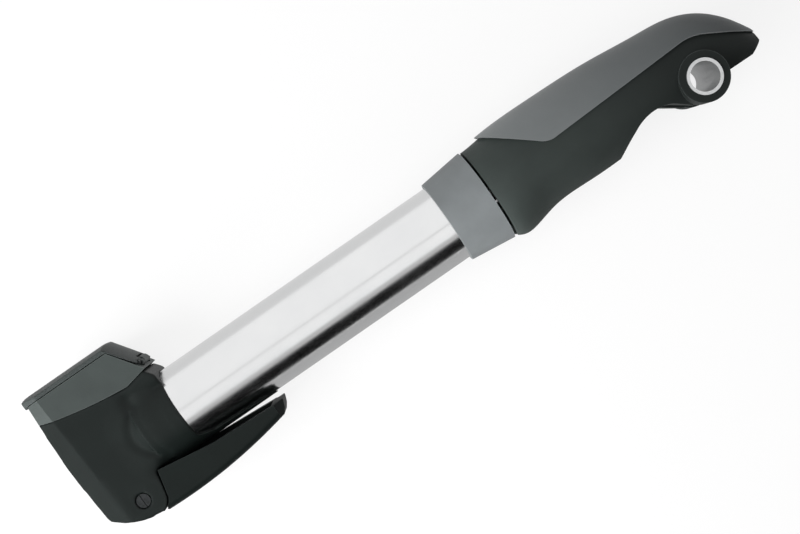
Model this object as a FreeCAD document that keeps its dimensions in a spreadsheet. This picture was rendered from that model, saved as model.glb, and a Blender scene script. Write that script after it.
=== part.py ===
import FreeCAD, Part
import math
import os
import re

import Sketcher

# Mini pump with a folding handle, in millimetres. +X runs along the barrel from the head to the
# handle, +Y points out of the valve port, and the origin is on the barrel's axis, in the middle of
# the part of the barrel that shows. The lever's and the handle's axes are parallel to Z.

SIZES = {
    # barrel and collar
    "barrel_radius": 12.5,
    "barrel_wall": 1.0,
    "exposed_length": 97.6,  # of the barrel, between head and collar
    "socket_depth": 12.0,  # the barrel's length inside the head
    "seat_gap": 0.02,  # between pieces that are pressed or screwed together
    "run_gap": 0.06,  # radial, between pieces that slide or turn in each other
    "free_gap": 0.4,  # between moving pieces that never touch
    "gasket_thickness": 1.5,
    "gasket_width": 2.4,
    "collar_length": 14.5,
    "collar_hold": 9.5,  # the barrel's length inside the collar
    "collar_edge": 1.2,  # the collar's wall at its thin end
    "collar_flare": 1.7,  # what its radius gains towards the handle
    # inner tube, the first stage of the telescope
    "stage_gap": 1.0,  # between barrel and inner tube
    "tube_wall": 0.8,
    "tube_setback": 3.0,  # from the end of the barrel's bore to the tube's piston
    "piston_length": 4.0,
    "piston_land": 1.0,
    "spigot_length": 6.0,
    "bush_length": 6.8,
    "flange_thickness": 1.0,
    "flap_radius": 5.0,
    "flap_thickness": 0.8,
    "flap_stem_radius": 1.0,
    # rod, the second stage
    "rod_radius": 4.0,
    "rod_spigot_radius": 2.5,
    "rod_spigot_length": 8.0,
    "rod_setback": 3.0,  # from the tube's piston to the screw on the rod's piston
    "screw_head_radius": 3.4,
    "screw_head_height": 2.4,
    "screw_radius": 1.6,
    "screw_length": 14.0,
    "rod_piston_length": 8.0,
    "cup_width": 3.0,
    "cup_depth": 2.2,
    "bumper_length": 3.0,
    "bumper_wall": 3.0,
    # head, measured from the plane of its rim
    "head_length": 37.2,
    "head_end_radius": 190.0,
    "head_side": 10.5,  # half the head's thickness
    "rim_wall": 0.5,
    "sleeve_wall": 1.0,
    "sleeve_taper": 8.0,
    "sleeve_length": 11.0,
    "shoulder_length": 24.0,  # where its sloping shoulder runs out in the flat sides
    "block_back": 12.4,
    "blend_radius": 4.4,
    "web_width": 8.0,
    "web_root": 4.3,
    "web_toe": 0.5,  # height of the web above the barrel at the rim
    "web_scoop": 9.0,
    "bevel_run": 6.4,
    "bevel_drop": 3.4,
    "bevel_low": 30.5,
    "bevel_high": 33.1,
    "seam_left": 7.3,  # heights of the seam above the barrel
    "seam_low": 2.0,
    "seam_right": 3.85,
    "seam_low_back": 8.5,
    "seam_radius": 150.0,
    "cap_top": 13.7,
    "cap_lean": 0.5,
    "cap_slope_top": 8.2,
    "cap_slope_foot": 1.3,
    "chin_left": 3.7,  # depths of the head's underside below the barrel
    "chin_front": 6.4,
    "chin_front_back": 33.1,
    "chin_mid": 9.0,
    "chin_mid_back": 27.1,
    "block_under": 1.6,  # the block's underside, above the barrel's lowest line
    "tongue_length": 26.0,
    "tongue_root": 3.8,
    "tongue_end": 0.4,
    "tongue_point": 2.5,
    "tongue_wall": 0.45,
    # valve port
    "port_back": 22.95,
    "port_radius": 4.6,
    "port_lip": 4.7,
    "chamber_radius": 7.6,
    "chamber_floor": 9.5,  # below the top of the barrel
    "spigot_wall": 1.4,
    "spigot_depth": 3.0,
    "seal_bore": 3.9,
    "seal_throat": 2.8,
    "seal_step": 5.0,
    "stem_radius": 4.0,
    "plunger_head": 8.0,
    "plunger_lift_room": 1.0,
    "seal_slack": 0.25,
    "cam_gap": 0.1,
    "depressor_radius": 1.0,
    "depressor_length": 7.0,
    "depressor_out": 2.0,
    "air_hole": 1.5,
    "check_radius": 5.5,
    "check_depth": 1.4,
    "check_seat": 2.0,
    "check_port_radius": 0.8,
    "check_port_circle": 3.0,
    # lever
    "pivot_back": 24.3,
    "pivot_drop": 3.7,
    "pin_radius": 1.5,
    "pin_head": 2.1,
    "pin_head_depth": 1.2,
    "pin_recess": 0.3,
    "pin_slot": 0.5,
    "pin_ring": 0.3,  # the open ring round the pin's head
    "hub_radius": 5.0,
    "hub_throw": 1.6,
    "hub_side": 5.6,  # half the hub's width
    "cheek_radius": 7.1,
    "cheek_top": 15.95,
    "cheek_turn": 25.0,  # degrees below level, where the cheek's edge joins its round corner
    "cheek_foot": 60.0,
    "lever_length": 44.1,
    "lever_heel": 19.75,
    "heel_turn": 54.0,  # degrees below level, where the lever's heel ends
    "lever_belly": 10.45,
    "lever_belly_radius": 170.0,
    "lever_tip_low": 6.8,
    "lever_nose_low": 5.2,
    "lever_nose_run": 1.2,
    "lever_tip_high": 3.0,
    "lever_tip_run": 2.1,
    "lever_knee": 2.8,
    "lever_knee_drop": 1.3,
    "lever_tip_side": 7.0,
    "lever_round": 2.4,
    "lever_wall": 1.6,
    "lever_floor": 4.5,
    "lever_neck": 0.9,
    # dust lid
    "lid_thickness": 2.6,
    "lid_slope_thickness": 1.6,
    "lid_crown": 45.0,
    "lid_gap": 0.15,
    "lid_overhang": 1.2,
    "lid_lip_drop": 0.5,
    "lid_pin_radius": 0.7,
    "lid_pin_height": 6.0,
    "lid_pin_back": 2.25,
    "lid_pin_over": 1.5,  # what the pin is longer than the knuckles, at each end
    "lid_knuckle": 1.4,
    "lid_lug": 4.0,
    "lid_knuckle_end": 6.5,
    "lid_end_turn": 49.5,  # degrees, where the lid's outside meets its knuckle
    "lid_bend_radius": 3.0,
    "lid_bend_run": 1.05,
    "lid_bend_fall": 1.2,
    "lid_bend_back": 1.4,
    # handle, measured from the plane of its mouth
    "mouth_gap": 0.8,
    "shell_wall": 2.2,
    "cavity_length": 40.0,
    "cavity_taper": 2.0,
    "overlay_proud": 1.0,
    "overlay_depth": 1.2,
    "edge_front": 5.4,
    "edge_front_rise": 1.6,
    "edge_bend": 20.6,
    "edge_bend_height": 4.4,
    "edge_bend_radius": 6.0,
    "edge_rear_height": 5.0,
    "edge_rear_radius": 16.0,
    "edge_tip_drop": 5.6,
    "slot_side": 4.7,
    "slot_roof": 0.7,
    "eye_along": 71.1,
    "eye_drop": 7.2,
    "eye_radius": 7.2,
    "eye_side": 3.9,
    "eye_shoulder": 60.0,
    "rod_reach": 55.0,  # the rod's full diameter ends this far into the handle
    "tube_outer": 5.5,
    "tube_inner": 4.55,
    "tube_half": 14.0,
    "boss_radius": 7.8,
    "boss_side": 13.5,
    "washer_radius": 6.9,
    "washer_thickness": 0.6,
    "washer_gap": 0.1,
    "arch_start": 37.9,
    "arch_foot": 14.5,
    "arch_in_radius": 40.0,
    "arch_shoulder": 45.9,
    "arch_shoulder_drop": 9.3,
    "arch_radius": 14.0,
    "arch_end": 59.6,
    "arch_end_drop": 8.7,
    "beak_foot": 10.1,
}

# The handle's outer form: place along it, centre height, half height, half width.
# Names ending in _grow are added to the radius of the handle's mouth.
HANDLE_SECTIONS = {
    "mouth": (0.0, -0.4, 0.0, 0.0),
    "skirt": (6.5, -0.6, 0.75, 0.5),
    "front": (14.0, 0.5, 0.1, -0.1),
    "palm": (28.0, 0.55, -0.05, -1.0),
    "middle": (46.0, 0.3, -0.5, -1.7),
    "rear": (64.0, -0.5, -1.5, -2.3),
    "knuckle": (75.0, -1.5, -2.0, -3.2),
    "nose": (84.0, -3.4, -4.5, -5.1),
    "beak": (90.0, -6.5, -7.6, -8.2),
    "tip": (93.6, -8.6, -10.9, -11.6),
}
for section, (along, centre, height_grow, width_grow) in HANDLE_SECTIONS.items():
    SIZES[section + "_along"] = along
    SIZES[section + "_centre"] = centre
    SIZES[section + "_height_grow"] = height_grow
    SIZES[section + "_width_grow"] = width_grow

doc = FreeCAD.newDocument("mini_pump")
sheet = doc.addObject("Spreadsheet::Sheet", "Sizes")
for row, (name, value) in enumerate(SIZES.items(), start=1):
    sheet.set(f"A{row}", name)
    sheet.set(f"B{row}", str(value))
    sheet.setAlias(f"B{row}", name)
doc.recompute()

# Places and radii that several pieces share, as expressions of the sheet's cells.
DERIVED = {
    "RIM": "(0 - exposed_length / 2)",
    "COLLAR": "(exposed_length / 2)",
    "MOUTH": "(exposed_length / 2 + collar_length + mouth_gap)",
    "BORE": "(barrel_radius - barrel_wall)",
    "TUBE": "(barrel_radius - barrel_wall - stage_gap)",
    "TUBE_BORE": "(barrel_radius - barrel_wall - stage_gap - tube_wall)",
    "SIDE": "(head_side)",
    "SLEEVE": "(barrel_radius + sleeve_wall)",
    "FLARE": "(barrel_radius + collar_edge + collar_flare)",
    "PIVOT_Y": "(0 - barrel_radius - pivot_drop)",
}


def formula(text):
    """An expression for FreeCAD, with each size's name pointing at its cell."""
    text = re.sub(r"\b[A-Z_]+\b", lambda word: DERIVED[word.group()], str(text))
    return re.sub(
        r"[a-z_]+",
        lambda word: "Sizes." + word.group() if word.group() in SIZES else word.group(),
        text,
    )


PIECES = []


def new_body(node, place=("0", "0", "0")):
    """A PartDesign body for one piece, with its origin at the given place."""
    body = doc.addObject("PartDesign::Body", node)
    body.Label = node
    for axis, value in zip("xyz", place):
        body.setExpression("Placement.Base." + axis, formula(value))
    PIECES.append(body)
    return body


def new_sketch(body, plane="XY", offset="0", lean=None):
    """A sketch on one of the body's own planes, moved along +X, +Y or +Z by offset.

    With lean = (angle, x, y) it is on the YZ plane turned about Z, through that point.
    """
    sketch = body.newObject("Sketcher::SketchObject", "profile")
    role = plane + "_Plane"
    support = [feature for feature in body.Origin.OriginFeatures if feature.Role == role]
    sketch.AttachmentSupport = (support[0], [""])
    sketch.MapMode = "FlatFace"
    if lean:
        angle, x, y = lean
        sketch.AttachmentOffset = FreeCAD.Placement(
            FreeCAD.Vector(), FreeCAD.Rotation(FreeCAD.Vector(0, 1, 0), -1)
        )
        sketch.setExpression("AttachmentOffset.Rotation.Angle", formula(angle))
        sketch.setExpression("AttachmentOffset.Base.x", formula(y))
        sketch.setExpression("AttachmentOffset.Base.z", formula(x))
        return sketch
    sign = "0 - " if plane == "XZ" else ""
    sketch.setExpression("AttachmentOffset.Base.z", formula(f"{sign}({offset})"))
    return sketch


def bind(sketch, kind, first, second, text):
    """A dimension of the sketch that follows an expression."""
    value = float(sketch.evalExpression(formula(text)))
    if kind == "Radius":
        index = sketch.addConstraint(Sketcher.Constraint(kind, first, value))
    else:
        index = sketch.addConstraint(Sketcher.Constraint(kind, -1, 1, first, second, value))
    sketch.setExpression(f"Constraints[{index}]", formula(text))


def arc_between(start, end, radius, turn):
    """The shorter arc from start to end; turn is ccw or cw."""
    chord = end - start
    rise = math.sqrt(max(radius**2 - (chord.Length / 2) ** 2, 0.0))
    left = FreeCAD.Vector(-chord.y, chord.x, 0).normalize()
    centre = start + chord * 0.5 + left * (rise if turn == "ccw" else -rise)
    first, last = (start, end) if turn == "ccw" else (end, start)
    begin = math.atan2(first.y - centre.y, first.x - centre.x)
    finish = math.atan2(last.y - centre.y, last.x - centre.x)
    circle = Part.Circle(centre, FreeCAD.Vector(0, 0, 1), radius)
    return Part.ArcOfCircle(circle, begin, finish)


def outline(sketch, corners):
    """A closed outline. A corner is (x, y), or (x, y, turn, radius) where an arc leaves it."""
    points = []
    for corner in corners:
        x, y = (float(sketch.evalExpression(formula(value))) for value in corner[:2])
        points.append(FreeCAD.Vector(x, y, 0))
    ends = []
    for index, corner in enumerate(corners):
        start, end = points[index], points[(index + 1) % len(points)]
        if len(corner) == 2:
            edge = sketch.addGeometry(Part.LineSegment(start, end), False)
            ends.append((edge, 1, 2))
            continue
        turn, radius = corner[2], float(sketch.evalExpression(formula(corner[3])))
        edge = sketch.addGeometry(arc_between(start, end, radius, turn), False)
        ends.append((edge, 1, 2) if turn == "ccw" else (edge, 2, 1))
    for index, corner in enumerate(corners):
        edge, start, _ = ends[index]
        before, _, finish = ends[index - 1]
        sketch.addConstraint(Sketcher.Constraint("Coincident", before, finish, edge, start))
        bind(sketch, "DistanceX", edge, start, corner[0])
        bind(sketch, "DistanceY", edge, start, corner[1])
        if len(corner) == 4:
            bind(sketch, "Radius", edge, None, corner[3])


def circle(sketch, x, y, radius):
    """A full circle in the sketch."""
    values = [float(sketch.evalExpression(formula(value))) for value in (x, y, radius)]
    centre = FreeCAD.Vector(values[0], values[1], 0)
    edge = sketch.addGeometry(Part.Circle(centre, FreeCAD.Vector(0, 0, 1), values[2]), False)
    bind(sketch, "DistanceX", edge, 3, x)
    bind(sketch, "DistanceY", edge, 3, y)
    bind(sketch, "Radius", edge, None, radius)


def ellipse(sketch, centre, half_height, half_width):
    """An ellipse on the YZ plane that is taller along Y than it is wide along Z."""
    texts = (centre, half_height, half_width)
    middle, tall, wide = (float(sketch.evalExpression(formula(text))) for text in texts)
    top = FreeCAD.Vector(middle + tall, 0, 0)
    side = FreeCAD.Vector(middle, wide, 0)
    edge = sketch.addGeometry(Part.Ellipse(top, side, FreeCAD.Vector(middle, 0, 0)), False)
    sketch.exposeInternalGeometry(edge)
    bind(sketch, "DistanceX", edge, 3, centre)
    bind(sketch, "DistanceY", edge, 3, "0")
    bind(sketch, "DistanceX", edge + 1, 1, f"{centre} + {half_height}")
    bind(sketch, "DistanceY", edge + 1, 1, "0")
    bind(sketch, "DistanceY", edge + 2, 1, half_width)


def feature(body, kind, profile, **settings):
    """A PartDesign feature on a profile sketch; settings that are text are bound to the sheet."""
    made = body.newObject("PartDesign::" + kind, kind)
    made.Profile = profile
    for name, value in settings.items():
        if name == "Length":
            made.setExpression(name, formula(value))
        else:
            setattr(made, name, value)
    return made


def pad(body, profile, half=None, length=None, reverse=False):
    """A pad to both sides by half, or to one side by length."""
    if half is not None:
        return feature(body, "Pad", profile, SideType="Symmetric", Length=f"2 * ({half})")
    return feature(body, "Pad", profile, Length=length, Reversed=reverse)


def pocket(body, profile, half=None, length=None, reverse=False):
    """A pocket to both sides by half, or to one side by length."""
    if half is not None:
        return feature(body, "Pocket", profile, SideType="Symmetric", Length=f"2 * ({half})")
    return feature(body, "Pocket", profile, Length=length, Reversed=reverse)


def turn_about(body, profile, kind="Revolution", axis="H_Axis"):
    """A full turn of the profile about one of its sketch's axes."""
    made = feature(body, kind, profile, Angle=360.0)
    made.ReferenceAxis = (profile, [axis])
    return made


def turned(node, axis, place, corners):
    """A turned piece. Its corners are (along, radius) from its place, about X, Y or Z."""
    body = new_body(node, place)
    profile = new_sketch(body, "XZ" if axis == "Z" else "XY")
    if axis == "X":
        outline(profile, corners)
    else:
        outline(profile, [(corner[1], corner[0]) + tuple(corner[2:]) for corner in corners])
    turn_about(body, profile, axis="H_Axis" if axis == "X" else "V_Axis")
    return body


def ring(node, axis, place, start, end, inner, outer):
    """A plain turned ring, or a disc where inner is 0."""
    corners = [(start, inner), (end, inner), (end, outer), (start, outer)]
    return turned(node, axis, place, corners)


def edges_where(shape, test, longer):
    """The names of the longer edges of a shape whose every sampled point passes the test."""
    names = []
    for number, edge in enumerate(shape.Edges, start=1):
        if edge.Length > longer and all(test(point) for point in edge.discretize(7)):
            names.append(f"Edge{number}")
    return names


def value_of(text):
    """The number that an expression of the sheet's cells has now."""
    return float(sheet.evalExpression(formula(text)))


# --- barrel: a drawn aluminium tube that the head and the collar grip ---
ring(
    "barrel", "X", ("0", "0", "0"),
    "RIM - socket_depth + gasket_thickness", "COLLAR + collar_hold", "BORE", "barrel_radius",
)  # fmt: skip

# --- barrel_gasket: a flat rubber ring between the barrel's end and the floor of its socket ---
ring(
    "barrel_gasket", "X", ("RIM", "0", "0"),
    "0 - socket_depth", "gasket_thickness - socket_depth",
    "barrel_radius - gasket_width", "barrel_radius",
)  # fmt: skip

# --- barrel_collar: a grey plastic collar, flared towards the handle ---
turned(
    "barrel_collar", "X", ("COLLAR", "0", "0"),
    [
        ("0", "barrel_radius + seat_gap"),
        ("collar_hold + flange_thickness", "barrel_radius + seat_gap"),
        ("collar_hold + flange_thickness", "TUBE + free_gap"),
        ("collar_length", "TUBE + free_gap"),
        ("collar_length", "FLARE"),
        ("0", "barrel_radius + collar_edge"),
    ],
)  # fmt: skip

# --- barrel_bush: a plastic bush in the barrel's end that guides the inner tube ---
turned(
    "barrel_bush", "X", ("COLLAR + collar_hold", "0", "0"),
    [
        ("0 - bush_length", "TUBE + run_gap"),
        ("flange_thickness", "TUBE + run_gap"),
        ("flange_thickness", "barrel_radius"),
        ("0", "barrel_radius"),
        ("0", "BORE - seat_gap"),
        ("0 - bush_length", "BORE - seat_gap"),
    ],
)  # fmt: skip

# --- inner tube with its piston, ring, flap valve and end cap ---
TUBE_START = ("RIM - socket_depth + gasket_thickness + tube_setback + piston_length", "0", "0")
DERIVED["TUBE_LENGTH"] = (
    "(exposed_length + collar_length + socket_depth - gasket_thickness - tube_setback"
    " - piston_length - flange_thickness)"
)
ring("inner_tube", "X", TUBE_START, "0", "TUBE_LENGTH", "TUBE_BORE", "TUBE")
turned(
    "tube_piston", "X", TUBE_START,
    [
        ("0 - piston_length", "flap_stem_radius + run_gap"),
        ("spigot_length", "flap_stem_radius + run_gap"),
        ("spigot_length", "TUBE_BORE - seat_gap"),
        ("0", "TUBE_BORE - seat_gap"),
        ("0", "BORE - 4 * run_gap"),
        ("0 - piston_land", "BORE - 4 * run_gap"),
        ("0 - piston_land", "TUBE_BORE"),
        ("piston_land - piston_length", "TUBE_BORE"),
        ("piston_land - piston_length", "BORE - 4 * run_gap"),
        ("0 - piston_length", "BORE - 4 * run_gap"),
    ],
)  # fmt: skip
ring(
    "tube_ring", "X", TUBE_START,
    "piston_land - piston_length + seat_gap", "0 - piston_land - seat_gap",
    "TUBE_BORE + seat_gap", "BORE - run_gap",
)  # fmt: skip
turned(
    "tube_valve_flap", "X", TUBE_START,
    [
        ("0 - piston_length", "0"),
        ("spigot_length + flap_thickness", "0"),
        ("spigot_length + flap_thickness", "flap_radius"),
        ("spigot_length", "flap_radius"),
        ("spigot_length", "flap_stem_radius"),
        ("0 - piston_length", "flap_stem_radius"),
    ],
)  # fmt: skip
turned(
    "tube_cap", "X", ("COLLAR + collar_length", "0", "0"),
    [
        ("0 - spigot_length - flange_thickness", "rod_radius + run_gap"),
        ("0", "rod_radius + run_gap"),
        ("0", "TUBE"),
        ("0 - flange_thickness", "TUBE"),
        ("0 - flange_thickness", "TUBE_BORE - seat_gap"),
        ("0 - spigot_length - flange_thickness", "TUBE_BORE - seat_gap"),
    ],
)  # fmt: skip

# --- rod with its piston, cup, screw and bumper ---
DERIVED["ROD_START"] = (
    "(RIM - socket_depth + gasket_thickness + tube_setback + piston_length + spigot_length"
    " + flap_thickness + rod_setback + screw_head_height)"
).replace("RIM", DERIVED["RIM"])
DERIVED["ROD_END"] = "(" + DERIVED["MOUTH"] + " + rod_reach)"
turned(
    "piston_rod", "X", ("0", "0", "0"),
    [
        ("ROD_START + rod_piston_length - cup_width", "screw_radius + seat_gap"),
        ("ROD_START + screw_length", "screw_radius + seat_gap"),
        ("ROD_START + screw_length", "0"),
        ("ROD_END + rod_spigot_length", "0"),
        ("ROD_END + rod_spigot_length", "rod_spigot_radius"),
        ("ROD_END", "rod_spigot_radius"),
        ("ROD_END", "rod_radius"),
        ("ROD_START + rod_piston_length - cup_width", "rod_radius"),
    ],
)  # fmt: skip
turned(
    "piston", "X", ("ROD_START", "0", "0"),
    [
        ("0", "screw_radius + seat_gap"),
        ("rod_piston_length - cup_width", "screw_radius + seat_gap"),
        ("rod_piston_length - cup_width", "rod_radius + seat_gap"),
        ("rod_piston_length", "rod_radius + seat_gap"),
        ("rod_piston_length", "TUBE_BORE - 4 * run_gap"),
        ("rod_piston_length - piston_land", "TUBE_BORE - 4 * run_gap"),
        ("rod_piston_length - piston_land", "TUBE_BORE - cup_depth"),
        ("rod_piston_length - piston_land - cup_width", "TUBE_BORE - cup_depth"),
        ("rod_piston_length - piston_land - cup_width", "TUBE_BORE - 4 * run_gap"),
        ("0", "TUBE_BORE - 4 * run_gap"),
    ],
)  # fmt: skip
turned(
    "piston_cup", "X", ("ROD_START + rod_piston_length - piston_land - cup_width", "0", "0"),
    [
        ("seat_gap", "TUBE_BORE - cup_depth + seat_gap"),
        ("cup_width - seat_gap", "TUBE_BORE - cup_depth + seat_gap"),
        ("cup_width - seat_gap", "TUBE_BORE - cup_depth / 2"),
        ("seat_gap", "TUBE_BORE - run_gap"),
    ],
)  # fmt: skip
turned(
    "piston_screw", "X", ("ROD_START", "0", "0"),
    [
        ("0 - screw_head_height", "0"),
        ("screw_length - free_gap", "0"),
        ("screw_length - free_gap", "screw_radius"),
        ("0", "screw_radius"),
        ("0", "screw_head_radius"),
        ("0 - screw_head_height", "screw_head_radius"),
    ],
)  # fmt: skip
ring(
    "rod_bumper", "X", ("ROD_START + rod_piston_length", "0", "0"),
    "0", "bumper_length", "rod_radius + seat_gap", "rod_radius + bumper_wall",
)  # fmt: skip


# --- head_body: the black moulded head ---
def seam_cut(body, above):
    """Cuts what lies above, or below, the seam between the head and the port cap."""
    profile = new_sketch(body)
    far = "barrel_radius + cap_top + 20" if above else "0 - barrel_radius - 20"
    left, right = "0 - head_length - 10", "tongue_length"
    first = ("0 - seam_low_back", "barrel_radius + seam_low")
    last = ("0 - head_length", "barrel_radius + seam_left")
    slope = "(seam_left - seam_low) / (head_length - seam_low_back)"
    corners = [
        ("0", "barrel_radius + seam_right"),
        first + ("cw", "seam_radius"),
        last,
        (left, f"barrel_radius + seam_left + 10 * {slope}"),
        (left, far),
        ("1", far),
        ("1", "barrel_radius + seam_right + (seam_right - seam_low) / seam_low_back"),
    ]
    outline(profile, corners)
    return pocket(body, profile, half="barrel_radius * 2")


def end_bevel(body):
    """Bevels the two upright corners at the head's closed end."""
    for side in (1, -1):
        sections = []
        for height, back in (
            ("0 - barrel_radius - 12", "bevel_low"),
            ("barrel_radius + 18", "bevel_high"),
        ):
            profile = new_sketch(body, "XZ", height)
            corners = [
                (f"bevel_run / 2 - {back}", f"{side} * (SIDE + bevel_drop / 2)"),
                (f"0 - {back} - 2 * bevel_run", f"{side} * (SIDE - 2 * bevel_drop)"),
                (f"0 - {back} - 2 * bevel_run", f"{side} * (SIDE + bevel_drop / 2)"),
            ]
            outline(profile, corners)
            sections.append(profile)
        cut = feature(body, "SubtractiveLoft", sections[0], Ruled=True)
        cut.Sections = sections[1:]


head = new_body("head_body", ("RIM", "0", "0"))
profile = new_sketch(head)
outline(
    profile,
    [
        ("0.1 - head_length", "0 - barrel_radius - chin_left"),
        ("0 - chin_front_back", "0 - barrel_radius - chin_front"),
        ("0 - chin_mid_back", "0 - barrel_radius - chin_mid"),
        (
            "cheek_radius * cos(cheek_foot) - pivot_back",
            "PIVOT_Y - cheek_radius * sin(cheek_foot)",
            "ccw",
            "cheek_radius",
        ),
        (
            "cheek_radius * cos(cheek_turn) - pivot_back",
            "PIVOT_Y - cheek_radius * sin(cheek_turn)",
        ),
        ("0 - cheek_top", "block_under - barrel_radius"),
        ("blend_radius - block_back", "block_under - barrel_radius"),
        ("blend_radius - block_back", "barrel_radius + seam_left + 1"),
        ("0 - head_length", "barrel_radius + seam_left + 1", "ccw", "head_end_radius"),
    ],
)
pad(head, profile, half="SIDE")

# the block ends in a round sleeve, with a hollow blend between them
profile = new_sketch(head)
outline(
    profile,
    [
        ("1", "SLEEVE"),
        ("1", "3 * barrel_radius"),
        ("0 - block_back", "3 * barrel_radius"),
        ("0 - block_back", "SLEEVE + blend_radius", "ccw", "blend_radius"),
        ("blend_radius - block_back", "SLEEVE"),
    ],
)
turn_about(head, profile, kind="Groove")

# sleeve and tongue are one turned wall round the barrel
profile = new_sketch(head)
outline(
    profile,
    [
        ("0 - shoulder_length", "0"),
        ("0", "0"),
        ("0", "barrel_radius + seat_gap"),
        ("tongue_length", "barrel_radius + seat_gap"),
        ("tongue_length", "barrel_radius + tongue_wall"),
        ("0", "barrel_radius + rim_wall"),
        ("0 - sleeve_taper", "SLEEVE"),
        ("0 - sleeve_length", "SLEEVE"),
        ("0 - shoulder_length", "SIDE - 0.2"),
    ],
)
turn_about(head, profile)
profile = new_sketch(head)
outline(
    profile,
    [
        ("0", "tongue_root - barrel_radius"),
        ("tongue_length - tongue_point", "tongue_end + 0.8 - barrel_radius"),
        ("tongue_length", "0 - barrel_radius - tongue_wall / 2"),
        ("tongue_length + 1", "0 - barrel_radius - tongue_wall"),
        ("tongue_length + 1", "2 * barrel_radius"),
        ("0", "2 * barrel_radius"),
    ],
)
pocket(head, profile, half="2 * barrel_radius")

# the web under the port cap's barrel end narrows down to the sleeve
profile = new_sketch(head, "YZ", "0 - block_back - 2")
outline(
    profile,
    [
        ("barrel_radius + cap_top", "SIDE"),
        ("barrel_radius + seam_low - 0.6", "SIDE", "ccw", "web_scoop"),
        ("barrel_radius - web_root", "web_width"),
        ("barrel_radius - web_root", "0 - web_width", "ccw", "web_scoop"),
        ("barrel_radius + seam_low - 0.6", "0 - SIDE"),
        ("barrel_radius + cap_top", "0 - SIDE"),
    ],
)
pad(head, profile, length="block_back + 2")
profile = new_sketch(head)
outline(
    profile,
    [
        ("0 - 2 * cap_slope_foot", "barrel_radius + seam_right"),
        ("0", "barrel_radius + web_toe"),
        ("1", "barrel_radius + web_toe"),
        ("1", "2 * barrel_radius"),
        ("0 - 2 * cap_slope_foot", "2 * barrel_radius"),
    ],
)
pocket(head, profile, half="SIDE")
seam_cut(head, above=True)
end_bevel(head)

# bores: barrel socket, plunger guide, grommet chamber, air passage
profile = new_sketch(head, "YZ", "0 - socket_depth")
circle(profile, "0", "0", "barrel_radius + seat_gap")
pocket(head, profile, length="socket_depth", reverse=True)
profile = new_sketch(head, "XZ", "0 - barrel_radius")
circle(profile, "0 - port_back", "0", "stem_radius + run_gap")
pocket(head, profile, length="barrel_radius * 2", reverse=False)
profile = new_sketch(head, "XZ", "barrel_radius - chamber_floor")
circle(profile, "0 - port_back", "0", "chamber_radius")
pocket(head, profile, length="barrel_radius * 2", reverse=False)
profile = new_sketch(head, "YZ", "0 - port_back")
circle(profile, "0", "0", "air_hole")
pocket(head, profile, length="port_back - socket_depth", reverse=True)
profile = new_sketch(head, "YZ", "0 - socket_depth - check_depth")
circle(profile, "0", "0", "check_radius + free_gap")
pocket(head, profile, length="check_depth", reverse=True)
profile = new_sketch(head, "XZ", "barrel_radius + seam_low - spigot_depth")
circle(profile, "0 - port_back", "0", "chamber_radius + spigot_wall + seat_gap")
pocket(head, profile, length="barrel_radius * 2", reverse=False)

# the slot between the cheeks takes the lever's hub
profile = new_sketch(head)
outline(
    profile,
    [
        ("0 - pivot_back - cheek_radius", "PIVOT_Y"),
        ("0 - pivot_back - cheek_radius", "0 - 3 * barrel_radius"),
        ("0 - cheek_top + 0.3", "0 - 3 * barrel_radius"),
        ("0 - cheek_top + 0.3", "PIVOT_Y + cheek_radius"),
        ("0 - pivot_back", "PIVOT_Y + cheek_radius", "ccw", "cheek_radius"),
    ],
)
pocket(head, profile, half="hub_side + free_gap")
profile = new_sketch(head)
circle(profile, "0 - pivot_back", "PIVOT_Y", "pin_radius + seat_gap")
pocket(head, profile, half="2 * barrel_radius")
for side in (1, -1):
    profile = new_sketch(head, "XY", f"{side} * (SIDE - pin_head_depth - pin_recess)")
    circle(profile, "0 - pivot_back", "PIVOT_Y", "pin_head + pin_ring")
    pocket(head, profile, length="SIDE", reverse=side > 0)


# --- check valve in the head: a seat with four ports and a rubber flap on its far side ---
seat = ring(
    "check_valve_seat", "X", ("RIM - socket_depth", "0", "0"),
    "0", "check_seat", "flap_stem_radius + seat_gap", "barrel_radius - gasket_width - seat_gap",
)  # fmt: skip
profile = new_sketch(seat, "YZ")
circle(profile, "check_port_circle", "0", "check_port_radius")
port = pocket(seat, profile, length="check_seat", reverse=True)
ports = seat.newObject("PartDesign::PolarPattern", "ports")
ports.Originals = [port]
ports.Axis = (profile, ["N_Axis"])
ports.Angle = 360.0
ports.Occurrences = 4
seat.Tip = ports
turned(
    "check_valve_flap", "X", ("RIM - socket_depth", "0", "0"),
    [
        ("0 - flap_thickness", "0"),
        ("check_seat", "0"),
        ("check_seat", "flap_stem_radius"),
        ("0", "flap_stem_radius"),
        ("0", "check_radius - 1"),
        ("0 - flap_thickness", "check_radius - 1"),
    ],
)  # fmt: skip

# --- port_cap: the grey moulding over the grommet, with the mouth for the tyre's valve ---
HINGE = ("0 - lid_pin_back", "barrel_radius + lid_pin_height")
cap = new_body("port_cap", ("RIM", "0", "0"))
profile = new_sketch(cap)
outline(
    profile,
    [
        ("0 - head_length", "barrel_radius"),
        ("0", "barrel_radius"),
        ("0 - cap_slope_foot", "barrel_radius + seam_right"),
        ("0 - cap_slope_top", "barrel_radius + cap_top"),
        ("cap_lean - head_length", "barrel_radius + cap_top"),
        ("0 - head_length", "barrel_radius + seam_left"),
    ],
)
pad(cap, profile, half="SIDE")
seam_cut(cap, above=False)
end_bevel(cap)
profile = new_sketch(cap, "XZ", "barrel_radius + seam_left")
circle(profile, "0 - port_back", "0", "chamber_radius + spigot_wall")
pad(cap, profile, length="seam_left - seam_low + spigot_depth")
profile = new_sketch(cap, "XZ", "0")
circle(profile, "0 - port_back", "0", "chamber_radius")
pocket(cap, profile, length="barrel_radius + cap_top - port_lip")
profile = new_sketch(cap, "XZ", "0")
circle(profile, "0 - port_back", "0", "port_radius")
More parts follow.
